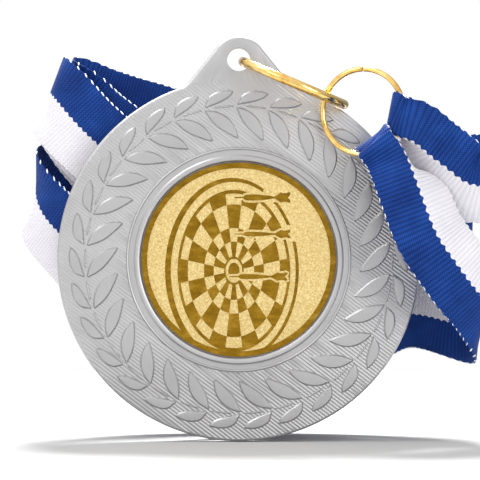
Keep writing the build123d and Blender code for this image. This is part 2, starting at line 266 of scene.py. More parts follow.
def close_relief(flat, heights, faces, walls):
    """Adds side walls and a back to a front face, and returns points and faces.

    walls(ring) gives the steps from the front edge to the back: (offset outwards, height).
    """
    points = [(x, -h, z) for (x, z), h in zip(flat, heights)]
    result = [tuple(int(i) for i in f) for f in faces]
    back_loops = []
    for loop in boundary_loops(faces):
        ring = flat[loop]
        normals = right_of(ring)
        previous = list(loop)
        for offset, height in walls(ring):
            place = ring + normals * offset
            first = len(points)
            points += [(x, -height, z) for x, z in place]
            current = list(range(first, first + len(loop)))
            for i in range(len(loop)):
                j = (i + 1) % len(loop)
                result.append((previous[j], previous[i], current[i], current[j]))
            previous = current
        back_loops.append(previous)
    backing = Drawing()
    numbers = []
    rings = [np.array([(points[i][0], points[i][2]) for i in loop]) for loop in back_loops]
    for loop, ring in zip(back_loops, rings):
        backing.line(ring, 0.0)
        numbers += loop
    verts, _, triangles, origins, _, _ = delaunay_2d_cdt(backing.points, backing.edges, [], 0, 1e-6)
    outer = max(rings, key=len)
    holes = [ring for ring in rings if ring is not outer]
    for face in triangles:
        middle = sum((verts[i] for i in face), Vector((0, 0))) / 3
        if winding(outer, middle) and not any(winding(hole, middle) for hole in holes):
            result.append(tuple(numbers[origins[i][0]] for i in reversed(face)))
    return points, result


def rod_faces(first, rows, count):
    """Faces of a closed rod: rows of count points each, numbered from first."""
    faces = []
    for i in range(first, first + (rows - 1) * count, count):
        for j in range(count):
            k = (j + 1) % count
            faces.append((i + j, i + k, i + count + k, i + count + j))
    last = first + (rows - 1) * count
    return faces + [tuple(range(first, first + count)), tuple(range(last, last + count))]


def winding(loop, point):
    """Whether a point is inside a closed loop."""
    x, z = loop[:, 0] - point[0], loop[:, 1] - point[1]
    next_x, next_z = np.roll(x, -1), np.roll(z, -1)
    turn = np.arctan2(x * next_z - z * next_x, x * next_x + z * next_z)
    return abs(turn.sum()) > math.pi


def face_out(piece):
    """Turns all faces to point outwards."""
    bpy.context.view_layer.objects.active = piece
    bpy.ops.object.select_all(action="DESELECT")
    piece.select_set(True)
    bpy.ops.object.mode_set(mode="EDIT")
    bpy.ops.mesh.select_all(action="SELECT")
    bpy.ops.mesh.normals_make_consistent(inside=False)
    bpy.ops.object.mode_set(mode="OBJECT")


# === materials ===
class Nodes:
    """Short-hand for building one material's nodes."""

    def __init__(self, name, color, metallic=0.0, roughness=0.5):
        self.material = bpy.data.materials.new(name)
        self.material.use_nodes = True
        self.tree = self.material.node_tree
        self.shader = self.tree.nodes["Principled BSDF"]
        self.shader.inputs["Base Color"].default_value = (*color, 1.0)
        self.shader.inputs["Metallic"].default_value = metallic
        self.shader.inputs["Roughness"].default_value = roughness

    def link(self, source, target):
        self.tree.links.new(source, target)

    def add(self, kind, **settings):
        node = self.tree.nodes.new(kind)
        for key, value in settings.items():
            setattr(node, key, value)
        return node

    def attribute(self, name):
        return self.add("ShaderNodeAttribute", attribute_name=name).outputs["Fac"]

    def noise(self, scale, detail=3.0, roughness=0.55, stretch=None):
        node = self.add("ShaderNodeTexNoise")
        node.inputs["Scale"].default_value = scale
        node.inputs["Detail"].default_value = detail
        node.inputs["Roughness"].default_value = roughness
        place = self.add("ShaderNodeTexCoord").outputs["Object"]
        if stretch:
            mapping = self.add("ShaderNodeMapping")
            mapping.inputs["Scale"].default_value = stretch
            self.link(place, mapping.inputs["Vector"])
            place = mapping.outputs["Vector"]
        self.link(place, node.inputs["Vector"])
        return node.outputs["Fac"]

    def feed(self, sockets, values):
        """Gives each socket its number or another node's output."""
        for socket, value in zip(sockets, values):
            if isinstance(value, float):
                socket.default_value = value
            else:
                self.link(value, socket)

    def math(self, operation, *values):
        node = self.add("ShaderNodeMath", operation=operation)
        self.feed(node.inputs, values)
        return node.outputs["Value"]

    def unit(self, wave):
        """A wave from -1 to 1 brought to 0 to 1."""
        return self.math("ADD", self.math("MULTIPLY", wave, 0.5), 0.5)

    def ramp(self, value, stops):
        node = self.add("ShaderNodeValToRGB")
        ramp = node.color_ramp
        ramp.elements[0].position, ramp.elements[0].color = stops[0][0], (*stops[0][1], 1.0)
        ramp.elements[1].position, ramp.elements[1].color = stops[-1][0], (*stops[-1][1], 1.0)
        for position, color in stops[1:-1]:
            ramp.elements.new(position).color = (*color, 1.0)
        self.link(value, node.inputs["Fac"])
        return node.outputs["Color"]

    def mix(self, factor, first, second, blend="MIX"):
        node = self.add("ShaderNodeMix", data_type="RGBA", blend_type=blend)
        self.feed((node.inputs[0], node.inputs[6], node.inputs[7]), (factor, first, second))
        return node.outputs[2]

    def shaded(self, color, *shades):
        """A colour multiplied by each of the shades."""
        for shade in shades:
            color = self.mix(1.0, color, shade, "MULTIPLY")
        return color

    def rough(self, value, low, high):
        node = self.add("ShaderNodeMapRange")
        node.inputs["To Min"].default_value = low
        node.inputs["To Max"].default_value = high
        self.link(value, node.inputs["Value"])
        self.link(node.outputs["Result"], self.shader.inputs["Roughness"])

    def color(self, value):
        self.link(value, self.shader.inputs["Base Color"])

    def bump(self, value, distance, strength=1.0):
        node = self.add("ShaderNodeBump")
        node.inputs["Distance"].default_value = distance * MM
        node.inputs["Strength"].default_value = strength
        self.link(value, node.inputs["Height"])
        self.link(node.outputs["Normal"], self.shader.inputs["Normal"])


def satin_silver():
    """Satin silver plating: almost white metal with a fine frosted grain and faint clouds."""
    nodes = Nodes("satin_silver", (0.43, 0.425, 0.43), 1.0, 0.46)
    clouds = nodes.noise(140.0, 2.0)
    grain = nodes.noise(9000.0, 2.0)
    nodes.color(nodes.ramp(clouds, [(0.3, (0.4, 0.395, 0.4)), (0.7, (0.45, 0.445, 0.45))]))
    nodes.rough(grain, 0.41, 0.51)
    nodes.bump(grain, 0.004, 0.5)
    return nodes.material


def grained(name, color, metallic, roughness, noise, stops, rough=None, bump=None):
    """A material whose colour, roughness and relief follow one noise."""
    nodes = Nodes(name, color, metallic, roughness)
    grain = nodes.noise(*noise)
    nodes.color(nodes.ramp(grain, stops))
    if rough:
        nodes.rough(grain, *rough)
    if bump:
        nodes.bump(grain, *bump)
    return nodes.material


def polished_gold_dark_reflection():
    """The polished raised parts of the centre, with faint streaks from polishing. The dark base
    colour is a painted reflection of dark surroundings.
    """
    # painted reflection: the dark brown-gold colour stands for the dark surroundings mirrored in
    # the polished gold
    return grained("polished_gold_dark_reflection", (0.27, 0.14, 0.01), 1.0, 0.25,
                   (420.0, 5.0, 0.65, (1.0, 1.0, 2.2)),
                   [(0.35, (0.22, 0.115, 0.008)), (0.55, (0.31, 0.17, 0.014)),
                    (0.72, (0.42, 0.25, 0.035)), (0.85, (0.56, 0.38, 0.09))], (0.18, 0.36))


def frosted_gold():
    """The pale frosted field, which sparkles a little."""
    return grained("frosted_gold", (0.76, 0.58, 0.25), 1.0, 0.5, (4200.0, 3.0, 0.75),
                   [(0.32, (0.48, 0.34, 0.11)), (0.5, (0.66, 0.5, 0.21)),
                    (0.68, (0.82, 0.69, 0.37))], (0.42, 0.6), (0.02, 0.6))


def gilt_wire():
    """Bright gilt wire with small brown stains."""
    return grained("gilt_wire", (0.86, 0.58, 0.19), 1.0, 0.14, (520.0, 5.0, 0.65),
                   [(0.28, (0.45, 0.24, 0.05)), (0.42, (0.8, 0.5, 0.14)),
                    (0.58, (0.9, 0.64, 0.24)), (0.78, (0.98, 0.8, 0.42))],
                   (0.1, 0.24), (0.02, 0.5))


def ribbon_cloth():
    """Ribbed, finely woven polyester: its blue and white halves meet in a scalloped line. Painted
    shade darkens the grooves and the gaps between threads, and painted highlight lightens the blue
    threads.
    """
    nodes = Nodes("ribbon_cloth", (0.008, 0.05, 0.27), 0.0, 0.7)
    across, along = nodes.attribute("across"), nodes.attribute("along")
    rib, wave = nodes.attribute("rib"), nodes.attribute("wave")
    scallop = nodes.math("MULTIPLY", wave, LINE_SCALLOP)
    blue_side = nodes.math("GREATER_THAN", nodes.math("ADD", across, scallop), 0.0)
    clouds = nodes.noise(260.0, 3.0)
    blue = nodes.ramp(clouds, [(0.3, (0.004, 0.031, 0.18)), (0.55, (0.006, 0.045, 0.24)),
                               (0.8, (0.011, 0.066, 0.32))])
    white = nodes.ramp(clouds, [(0.3, (0.66, 0.645, 0.68)), (0.75, (0.72, 0.705, 0.735))])
    # painted shade: the colour is darkened in the grooves between the ribs, strongly on the blue
    # half and faintly on the white half
    groove = nodes.unit(rib)
    painted_groove_shade_blue = nodes.ramp(groove, [(0.0, (0.42, 0.45, 0.52)), (0.6, (0.88, 0.89, 0.91)),
                               (1.0, (1.0, 1.0, 1.0))])
    faint = nodes.ramp(groove, [(0.0, (0.86, 0.86, 0.88)), (1.0, (1.0, 1.0, 1.0))])
    warp = nodes.math("SINE", nodes.math("MULTIPLY", across, 2 * math.pi / WARP_PITCH))
    weft = nodes.math("SINE", nodes.math("MULTIPLY", along, 2 * math.pi / WEFT_PITCH))
    weave = nodes.math("MULTIPLY", warp, weft)
    threads = nodes.unit(weave)
    # painted highlight and shade: on the blue half the thread tops are lightened past the cloth's
    # colour and the gaps between threads darkened; on the white half the gaps are slightly darkened
    painted_thread_light_blue = nodes.ramp(threads, [(0.15, (0.55, 0.58, 0.64)), (0.6, (1.0, 1.0, 1.0)),
                                   (0.95, (1.6, 1.45, 1.25))])
    painted_thread_shade_white = nodes.ramp(threads, [(0.0, (0.9, 0.9, 0.91)), (0.7, (1.0, 1.0, 1.0))])
    nodes.color(nodes.mix(blue_side, nodes.shaded(white, faint, painted_thread_shade_white),
                          nodes.shaded(blue, painted_groove_shade_blue, painted_thread_light_blue)))
    nodes.bump(weave, 0.04, 0.5)
    nodes.shader.inputs["Sheen Weight"].default_value = 0.03
    nodes.shader.inputs["Sheen Roughness"].default_value = 0.5
    nodes.shader.inputs["Specular IOR Level"].default_value = 0.12
    return nodes.material


def twisted_thread(name, color, roughness, dark, light):
    """Polyester thread, slightly glossy, dark and light along its twist."""
    return grained(name, color, 0.0, roughness, (4000.0, 2.0, 0.5, (1.0, 1.0, 3.0)),
                   [(0.3, dark), (0.7, light)], bump=(0.02, 0.5))


def white_thread():
    return twisted_thread("white_thread", (0.86, 0.89, 0.95), 0.55,
                          (0.74, 0.79, 0.9), (0.92, 0.94, 0.98))


def blue_thread():
    return twisted_thread("blue_thread", (0.012, 0.05, 0.3), 0.6,
                          (0.008, 0.035, 0.22), (0.03, 0.1, 0.45))


def foam_tape():
    return grained("foam_tape", (0.8, 0.79, 0.75), 0.0, 0.9, (3000.0, 3.0),
                   [(0.3, (0.7, 0.69, 0.65)), (0.7, (0.84, 0.83, 0.79))], bump=(0.03, 0.6))


# === the picture ===
def camera():
    """A long lens straight in front of the disc."""
    data = bpy.data.cameras.new("camera")
    data.sensor_width = 36.0
    data.lens = data.sensor_width * CAMERA_DISTANCE / FRAME_WIDTH
    data.clip_start, data.clip_end = 0.01, 20.0
    view = add_object("camera", data)
    view.location = Vector((FRAME_CENTRE[0], -CAMERA_DISTANCE - GROUND, FRAME_CENTRE[1])) * MM
    view.rotation_euler = (math.radians(90.0), 0.0, 0.0)
    bpy.context.scene.camera = view


def area_light(name, location, size, power):
    """A round light that is aimed at the origin."""
    data = bpy.data.lights.new(name, "AREA")
    data.shape, data.size, data.energy = "DISK", size, power
    light = add_object(name, data)
    light.location = location
    aim = Vector((0.0, 0.0, 0.0)) - Vector(location)
    light.rotation_euler = aim.to_track_quat("-Z", "Y").to_euler()


def studio():
    """A pale floor, a white surround and soft lights, brightest at the upper left."""
    floor_nodes = Nodes("floor", (0.42, 0.42, 0.42), 0.0, 0.9)
    floor_mesh = bpy.data.meshes.new("floor")
    rim = [(FLOOR_RADIUS * math.cos(a), FLOOR_RADIUS * math.sin(a), FLOOR_HEIGHT * MM - FLOOR_GAP)
           for a in np.linspace(0.0, 2 * math.pi, 96, endpoint=False)]
    floor_mesh.from_pydata(rim, [], [tuple(range(len(rim)))])
    floor_mesh.materials.append(floor_nodes.material)
    floor = add_object("floor", floor_mesh)

    world = bpy.data.worlds.new("surround")
    world.use_nodes = True
    nodes, link = world.node_tree.nodes, world.node_tree.links.new
    tent = nodes["Background"]
    tent.inputs["Color"].default_value = (1.0, 1.0, 1.0, 1.0)
    direction = nodes.new("ShaderNodeTexCoord").outputs["Generated"]
    towards_light = nodes.new("ShaderNodeVectorMath")
    towards_light.operation = "DOT_PRODUCT"
    towards_light.inputs[1].default_value = Vector(TENT_LIGHT).normalized()
    link(direction, towards_light.inputs[0])
    level = nodes.new("ShaderNodeMapRange")
    level.inputs["From Min"].default_value = -1.0
    level.inputs["To Min"].default_value, level.inputs["To Max"].default_value = TENT_LEVELS
    link(towards_light.outputs["Value"], level.inputs["Value"])
    link(level.outputs["Result"], tent.inputs["Strength"])
    backdrop = nodes.new("ShaderNodeBackground")
    backdrop.inputs["Color"].default_value = (1.0, 1.0, 1.0, 1.0)
    seen = nodes.new("ShaderNodeMixShader")
    link(nodes.new("ShaderNodeLightPath").outputs["Is Camera Ray"], seen.inputs["Fac"])
    link(tent.outputs["Background"], seen.inputs[1])
    link(backdrop.outputs["Background"], seen.inputs[2])
    link(seen.outputs["Shader"], nodes["World Output"].inputs["Surface"])
    bpy.context.scene.world = world
    bpy.context.scene.view_settings.view_transform = "Standard"

    for light in LIGHTS:
        area_light(*light)


# === medal disc ===
def tab_corner():
    """Right half of the tab from its top to where its fillet meets the disc."""
    normal = np.array([math.cos(FLANK_ANGLE), math.sin(FLANK_ANGLE)])
    down = np.array([math.sin(FLANK_ANGLE), -math.cos(FLANK_ANGLE)])
    centre = np.array([0.0, TAB_CENTRE])
    base = centre + (TAB_RADIUS + ROOT_FILLET) * normal
    lean = base @ down
    reach = -lean - math.sqrt(lean**2 - base @ base + (DISC_RADIUS + ROOT_FILLET)**2)
    hub = base + reach * down
    crown = [centre + TAB_RADIUS * np.array([math.cos(a), math.sin(a)])
             for a in np.linspace(math.pi / 2, FLANK_ANGLE, CROWN_POINTS)]
    end = math.atan2(-hub[1], -hub[0])
    fillet = [hub + ROOT_FILLET * np.array([math.cos(a), math.sin(a)])
              for a in np.linspace(FLANK_ANGLE - math.pi, end, FILLET_POINTS)]
    return crown + fillet


def disc_loops():
    """The disc's outline inset by its edge round, and the ribbed circle inside it."""
    corner = tab_corner()
    foot_bearing = math.degrees(math.atan2(corner[-1][0], corner[-1][1]))
    bearings = np.linspace(foot_bearing, 360.0 - foot_bearing, RIM_POINTS)
    rim = [np.array(polar(b, DISC_RADIUS)) for b in bearings]
    left = [np.array([-x, z]) for x, z in reversed(corner[1:-1])]
    outline = np.array(corner + rim[1:] + left)
    inset = outline + right_of(outline) * EDGE_ROUND
    first = len(corner) - 1
    rim_inset = inset[first:first + RIM_POINTS]
    under = np.linspace(-foot_bearing, foot_bearing, UNDER_POINTS)[1:-1]
    return inset, np.vstack([rim_inset, [polar(b, DISC_RADIUS - EDGE_ROUND) for b in under]])


def rib_height(x, z):
    """Height of the ribbed ground: a triangle wave across the ribs."""
    phase = (x * math.sin(RIB_SLOPE) + z * math.cos(RIB_SLOPE)) / RIB_PITCH
    wave = abs((phase % 1.0) - 0.5) * 4.0 - 1.0
    return GROUND + RIB_HEIGHT / 2 * wave


def smooth_side(points, count):
    """Points along a side given by a few points, by a Catmull-Rom curve through them."""
    knots = np.array([polar(*p) for p in points])
    padded = np.vstack([2 * knots[0] - knots[1], knots, 2 * knots[-1] - knots[-2]])
    result = []
    for t in np.linspace(0.0, len(knots) - 1.0, count):
        i = min(int(t), len(knots) - 2)
        f = t - i
        a, b, c, d = padded[i:i + 4]
        result.append(0.5 * (2 * b + (c - a) * f + (2 * a - 5 * b + 4 * c - d) * f**2
                             + (3 * b - a - 3 * c + d) * f**3))
    return np.array(result)


def add_leaf(drawing, sides, node, bevel, top, crown, count):
    """Draws a leaf: its foot on the ground, its top edge and its crowned middle."""
    one, other = (smooth_side([(a + node, r) for a, r in side], count) for side in sides)
    foot = np.vstack([one, other[-2:0:-1]])
    drawing.line(foot, [rib_height(x, z) for x, z in foot])
    middle = (one + other) / 2
    width = np.linalg.norm(one - other, axis=1)[:, None]
    share = np.clip(1.0 - 2 * bevel / np.maximum(width, 1e-6), NARROWEST_TOP, 1.0)
    inner_one, inner_other = middle + (one - middle) * share, middle + (other - middle) * share
    edge = np.vstack([inner_one[1:-1], inner_other[-2:0:-1]])
    drawing.line(edge, top)
    drawing.line(middle[2:-2], top + crown, closed=False)
    return foot


def add_ribs(drawing, loops):
    """Draws the crests and valleys of the ribs on the ground between the loops."""
    starts = np.vstack(loops)
    ends = np.vstack([np.roll(loop, -1, axis=0) for loop in loops])
    along = np.array([math.cos(RIB_SLOPE), -math.sin(RIB_SLOPE)])
    across = np.array([math.sin(RIB_SLOPE), math.cos(RIB_SLOPE)])
    side_start, side_end = starts @ across, ends @ across
    rows = int(DISC_RADIUS / RIB_PITCH * 2)
    for row in range(-rows, rows + 1):
        level = row * RIB_PITCH / 2
        crossed = (side_start > level) != (side_end > level)
        share = (level - side_start[crossed]) / (side_end[crossed] - side_start[crossed])
        places = starts[crossed] + (ends[crossed] - starts[crossed]) * share[:, None]
        places = places[np.argsort(places @ along)]
        for a, b in zip(places[0::2], places[1::2]):
            if np.linalg.norm(b - a) > SHORTEST_RIB:
                drawing.line([a, b], [rib_height(*a), rib_height(*b)], closed=False)


def medal_disc(silver):
    """The pressed disc: ribbed ground, laurel wreath, mouldings, recess, tab and hole."""
    outline, ribbed = disc_loops()
    drawing = Drawing()
    rim_reach = DISC_RADIUS - EDGE_ROUND + SLACK
    drawing.line(outline, [rib_height(x, z) if math.hypot(x, z) < rim_reach else GROUND
                           for x, z in outline])
    under = [*ribbed[RIM_POINTS - 1:], ribbed[0]]
    drawing.line(under, [rib_height(x, z) for x, z in under], closed=False)
    hole = np.array(circle((0.0, HOLE_CENTRE), HOLE_RADIUS + HOLE_LIP, HOLE_POINTS))
    drawing.line(hole, GROUND)
    loops = [ribbed, np.array(circle((0, 0), RIB_INNER, CIRCLE_POINTS))]
    for pair in range(LEAF_PAIRS):
        node = WREATH_PHASE + pair * LEAF_STEP
        for sides, form in ((INNER_LEAF, LEAF_FORM), (OUTER_LEAF, LEAF_FORM), (STEM, STEM_FORM)):
            loops.append(add_leaf(drawing, sides, node, *form))
    for radius, height in MOULDINGS:
        drawing.line(circle((0, 0), radius, CIRCLE_POINTS), height)
    add_ribs(drawing, loops)
    flat, heights, faces = drawing.triangles(rib_height)
    kept = np.array([f for f in faces if not winding(hole, flat[f].mean(axis=0))])

    def walls(ring):
        return HOLE_PROFILE if len(ring) < RIM_POINTS else EDGE_PROFILE

    points, all_faces = close_relief(flat, heights, kept, walls)
    piece = mesh_piece("medal_relief", points, all_faces, [silver], sharp=24.0)
    face_out(piece)
    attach(piece, "medal")
    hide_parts("medal_disc")


# === gold centre ===
def board_point(share, angle):
    """A point of the board: share of its size, angle in degrees clockwise from the top."""
    x, z = polar(angle, share)
    return BOARD_CENTRE[0] + x * BOARD_WIDTH, BOARD_CENTRE[1] + z * BOARD_HEIGHT


def dart_outline(tip_x, tip_z, length, barrel, flight):
    """One dart pointing left: needle, barrel, shaft and notched flights."""
    body = [(0.0, 0.09), (0.16, 0.1), (0.17, 0.27), (0.21, 0.44), (0.32, 0.5), (0.46, 0.44),
            (0.6, 0.31), (0.68, 0.18), (0.72, 0.15)]
    flights = [(0.77, 0.27), (0.82, 0.47), (0.88, 0.4), (0.93, 0.4), (0.965, 0.5), (1.0, 0.43),
               (0.985, 0.2)]
    notch = 0.95
    side = [(tip_x + length * t, barrel * h) for t, h in body]
    side += [(tip_x + length * t, flight * h) for t, h in flights]
    top = [(x, tip_z + h) for x, h in side]
    bottom = [(x, tip_z - h) for x, h in reversed(side)]
    return np.array(top + [(tip_x + length * notch, tip_z)] + bottom)


def emblem_is_polished(point, darts, halos):
    """Whether a place on the gold centre is polished; the rest is frosted."""
    x, z = point
    if math.hypot(x, z) > EMBLEM_RADIUS - BORDER_WIDTH:
        return True
    if any(winding(dart, point) for dart in darts):
        return True
    if any(winding(halo, point) for halo in halos):
        return False
    u, v = (x - BOARD_CENTRE[0]) / BOARD_WIDTH, (z - BOARD_CENTRE[1]) / BOARD_HEIGHT
    share, rings = math.hypot(u, v), BOARD_RINGS
    if share > rings["edge"]:
        return in_crescent(x, z)
    if (share > rings["double_out"] or rings["bull_line"] < share < rings["inner"]
            or share < rings["bull"]):
        return True
    if share < rings["bull_line"]:
        return False
    sector = int((math.degrees(math.atan2(u, v)) % 360.0) / (360.0 / SECTORS) + 0.5) % SECTORS
    narrow = rings["triple_in"] < share < rings["triple_out"] or share > rings["double_in"]
    return narrow == (sector % 2 == 1)


def ellipse(x, z, half_width, half_height):
    """Points of an ellipse, clockwise from the top."""
    return [(x + half_width * math.sin(a), z + half_height * math.cos(a))
            for a in np.linspace(0.0, 2 * math.pi, CRESCENT_POINTS, endpoint=False)]


def in_crescent(x, z):
    """Whether a place lies on the board's polished outer line, which is thick on the left."""
    def share(shape):
        return math.hypot((x - shape[0]) / shape[2], (z - shape[1]) / shape[3])
    if x > 0 and any(low < z < high for low, high in LINE_GAPS):
        return False
    return share(CRESCENT_INNER) > 1.0 > share(CRESCENT_OUTER)


def gold_centre(polished, frosted):
    """The stamped gold disc: polished board, darts and border stand over the frosted field."""
    drawing = Drawing()
    rim = circle((0, 0), EMBLEM_RADIUS - EMBLEM_CHAMFER, CENTRE_POINTS)
    drawing.line(rim, 0.0)
    drawing.line(circle((0, 0), EMBLEM_RADIUS - BORDER_WIDTH, CENTRE_POINTS), 0.0)
    for share in BOARD_RINGS.values():
        ring = [board_point(share, 360.0 * i / BOARD_POINTS) for i in range(BOARD_POINTS)]
        drawing.line(ring, 0.0)
    for sector in range(SECTORS):
        angle = (sector + 0.5) * 360.0 / SECTORS
        places = [board_point(BOARD_RINGS[ring], angle) for ring in ("inner", "double_out")]
        drawing.line(places, 0.0, closed=False)
    for shape in (CRESCENT_INNER, CRESCENT_OUTER):
        drawing.line(ellipse(*shape), 0.0)
    for height in np.ravel(LINE_GAPS):
        drawing.line([(GAP_START, height), (GAP_END, height)], 0.0, closed=False)
    darts = [dart_outline(*dart) for dart in DARTS]
    halos = [dart - right_of(dart) * DART_HALO for dart in darts]
    for outline in darts + halos:
        drawing.line(outline, 0.0)
    flat, _, faces = drawing.triangles(lambda x, z: 0.0)
    edge = np.array(rim)
    faces = [f for f in faces if winding(edge, flat[f].mean(axis=0))]
    polished_faces = {tuple(f) for f in faces
                      if emblem_is_polished(flat[f].mean(axis=0), darts, halos)}

    # polished faces lie higher than frosted ones, with a narrow wall between them
    points, index = [], {}

    def corner(number, level):
        if (number, level) not in index:
            x, z = flat[number]
            index[number, level] = len(points)
            points.append((x, -level, z))
        return index[number, level]

    def level_of(face):
        if tuple(face) not in polished_faces:
            return FIELD_HEIGHT
        radius = math.hypot(*flat[face].mean(axis=0))
        return BORDER_HEIGHT if radius > EMBLEM_RADIUS - BORDER_WIDTH else POLISH_HEIGHT

    levels = {tuple(f): level_of(f) for f in faces}
    owner = {(a, b): tuple(f) for f in faces for a, b in zip(f, np.roll(f, -1))}
    result, slots = [], []
    for face in faces:
        here = levels[tuple(face)]
        result.append([corner(i, here) for i in face])
        slots.append(0 if tuple(face) in polished_faces else 1)
        for a, b in zip(face, np.roll(face, -1)):
            there = levels.get(owner.get((b, a)), here)
            if there < here:
                result.append([corner(b, here), corner(a, here),
                               corner(a, there), corner(b, there)])
                slots.append(0)
    previous = [corner(i, BORDER_HEIGHT) for i in boundary_loops(np.array(faces))[0]]
    for height in (BORDER_HEIGHT - EMBLEM_CHAMFER, EMBLEM_BACK):
        current = []
        for i in previous:
            x, _, z = points[i]
            scale = EMBLEM_RADIUS / math.hypot(x, z)
            current.append(len(points))
            points.append((x * scale, -height, z * scale))
        for i in range(len(previous)):
            j = (i + 1) % len(previous)
            result.append([previous[j], previous[i], current[i], current[j]])
            slots.append(0)
        previous = current
    result.append(previous)
    slots.append(0)
    piece = mesh_piece("gold_centre", points, result, [polished, frosted], slots, sharp=30.0)
    face_out(piece)
    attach(piece, "medal")
    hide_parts("emblem")


# === jump rings ===
def wire_ring(name, centre, across, upward, radius, wire, material, node, body):
    """A bent wire with an open butt joint. Across and upward span its plane."""
    centre, across, upward = (np.array(v, float) for v in (centre, across, upward))
    normal = np.cross(across, upward)
    around = np.linspace(JOINT_ANGLE + RING_GAP / 2, JOINT_ANGLE + 2 * math.pi - RING_GAP / 2,
                         WIRE_ROWS)
    section = np.linspace(0.0, 2 * math.pi, WIRE_SPOKES, endpoint=False)
    points = []
    end = wire - JOINT_CHAMFER * wire
    rows = [(around[0], end)] + [(a, wire) for a in around[1:-1]] + [(around[-1], end)]
    for angle, thickness in rows:
        out = math.cos(angle) * across + math.sin(angle) * upward
        for s in section:
            points.append(centre + out * (radius + thickness * math.cos(s))
                          + normal * thickness * math.sin(s))
    piece = mesh_piece(name, points, rod_faces(0, WIRE_ROWS, WIRE_SPOKES), [material], sharp=50.0)
    face_out(piece)
    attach(piece, body)
    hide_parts(node)


def jump_rings(gilt):
    """The thick ring through the tab and the thin ring that the ribbon is sewn round."""
    reach = LINK_SEAT + LINK_RADIUS
    outward_x, outward_z = math.cos(LINK_SLOPE), -math.sin(LINK_SLOPE)
    link_centre = (reach * outward_x, -GROUND / 2, HOLE_CENTRE + reach * outward_z)
    tilt = math.sin(LINK_TILT)
    backward = (tilt * -outward_z, math.cos(LINK_TILT), tilt * outward_x)
    wire_ring("link_ring_wire", link_centre, (outward_x, 0.0, outward_z), backward, LINK_RADIUS,
              LINK_WIRE, gilt, "link_ring", "link_ring")
    wire_ring("ribbon_ring_wire", RING_CENTRE, (math.cos(RING_TURN), -math.sin(RING_TURN), 0.0),
              (0.0, 0.0, 1.0), RING_RADIUS, RING_WIRE, gilt, "ribbon_ring", "ribbon_ring")


# === ribbon ===
# Stations as in the CAD model: x, y and z of the middle, direction of the blue edge, and fold of
# the white half in degrees.
LOWER_END = [
    (22.9, -8.3, 14.0, -0.85, 0.09, -0.52, 176),
    (22.2, -7.0, 15.0, -0.7, 0.4, -0.6, 176),
    (21.6, -5.1, 16.7, -0.8, 0.31, -0.51, 176),
    (20.3, -6.2, 18.5, -0.54, 0.35, -0.77, 176),
    (20.5, -9.4, 17.6, -0.66, 0.11, -0.75, 174),
    (21.9, -9.2, 15.6, -0.9, 0.12, -0.42, 150),
    (23.3, -9.9, 12.4, -0.95, 0.08, -0.32, 72),
    (24.9, -10.1, 8.0, -0.94, 0.0, -0.34, 42),
    (27.0, -9.8, 3.0, -0.9, 0.0, -0.43, 38),
    (29.0, -9.4, 0.1, -0.82, 0.0, -0.57, 36),
    (31.4, -8.4, -3.1, -0.76, 0.0, -0.65, 28),
    (33.6, -5.9, -5.8, -0.62, 0.0, -0.78, 10),
    (34.2, -2.6, -7.9, -0.5, 0.05, -0.86, 0),
    (32.4, 0.6, -8.9, -0.36, 0.3, -0.88, 0),
    (28.8, 2.8, -8.5, -0.26, 0.5, -0.82, 0),
    (24.3, 3.7, -7.6, -0.2, 0.5, -0.84, 0),
    (18.5, 4.4, -9.8, 0.15, 0.5, -0.85, 0),
    (12.5, 5.6, -15.2, 0.25, 0.7, -0.6, 0),
    (6.5, 7.2, -20.6, 0.15, 0.95, -0.15, 0),
    (0.0, 7.3, -22.2, 0.1, 0.97, 0.2, 0),
    (-7.0, 5.0, -18.0, 0.4, 0.55, 0.72, 0),
    (-13.5, 3.4, -10.4, 0.68, 0.25, 0.68, 0),
    (-19.0, 2.8, -2.2, 0.7, 0.05, 0.7, 0),
    (-25.0, 3.2, 3.7, 0.4, -0.32, 0.84, 0),
    (-27.9, 5.2, 7.4, 0.17, -0.15, 0.97, 0),
    (-28.3, 8.6, 10.6, 0.08, 0.0, 1.0, 0),
    (-26.6, 12.2, 9.6, 0.26, 0.0, 0.96, 0),
    (-20.2, 14.9, -0.8, 0.75, 0.0, 0.66, 0),
    (-14.8, 15.6, -9.8, 0.76, 0.0, 0.65, 0),
    (-8.0, 16.0, -17.4, 0.55, 0.0, 0.83, 0),
    (1.0, 16.4, -19.3, 0.0, 0.0, 1.0, 0),
    (10.0, 16.6, -16.2, -0.5, 0.0, 0.86, 0),
    (18.5, 16.4, -9.0, -0.6, 0.0, 0.8, 0),
]
